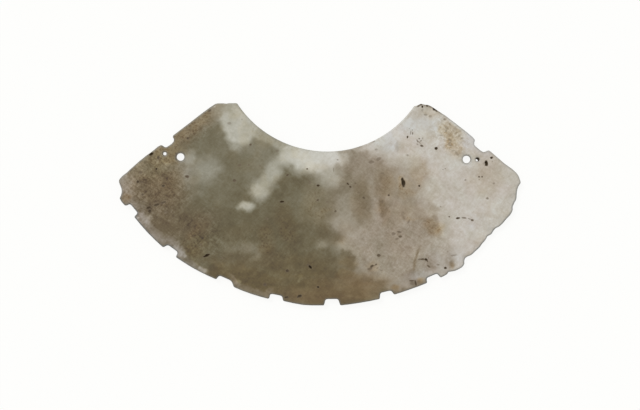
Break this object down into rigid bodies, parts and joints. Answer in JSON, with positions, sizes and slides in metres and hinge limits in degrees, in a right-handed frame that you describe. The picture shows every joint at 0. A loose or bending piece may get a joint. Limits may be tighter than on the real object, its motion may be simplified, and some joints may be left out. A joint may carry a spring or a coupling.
{
  "type": "curved pendant",
  "caption": "Flat arc-shaped jade pendant with a notched outer rim, a hollow inner edge, worn ends and drilled holes for a cord.",
  "frame": {"origin": "middle of the plate's outline box, on the face that the plate lies on", "axes": "+Z through the thickness, +X along the chord from the left end to the right end, +Y towards the hollow inner edge"},
  "size_m": [0.1608, 0.081, 0.0032],
  "materials": {
    "jade": "softly polished nephrite, grey-green and grey-brown, with milky patches, brown stains, dark specks and pits"
  },
  "bodies": {
    "root": {"jade_plate": "jade"}
  },
  "joints": []
}
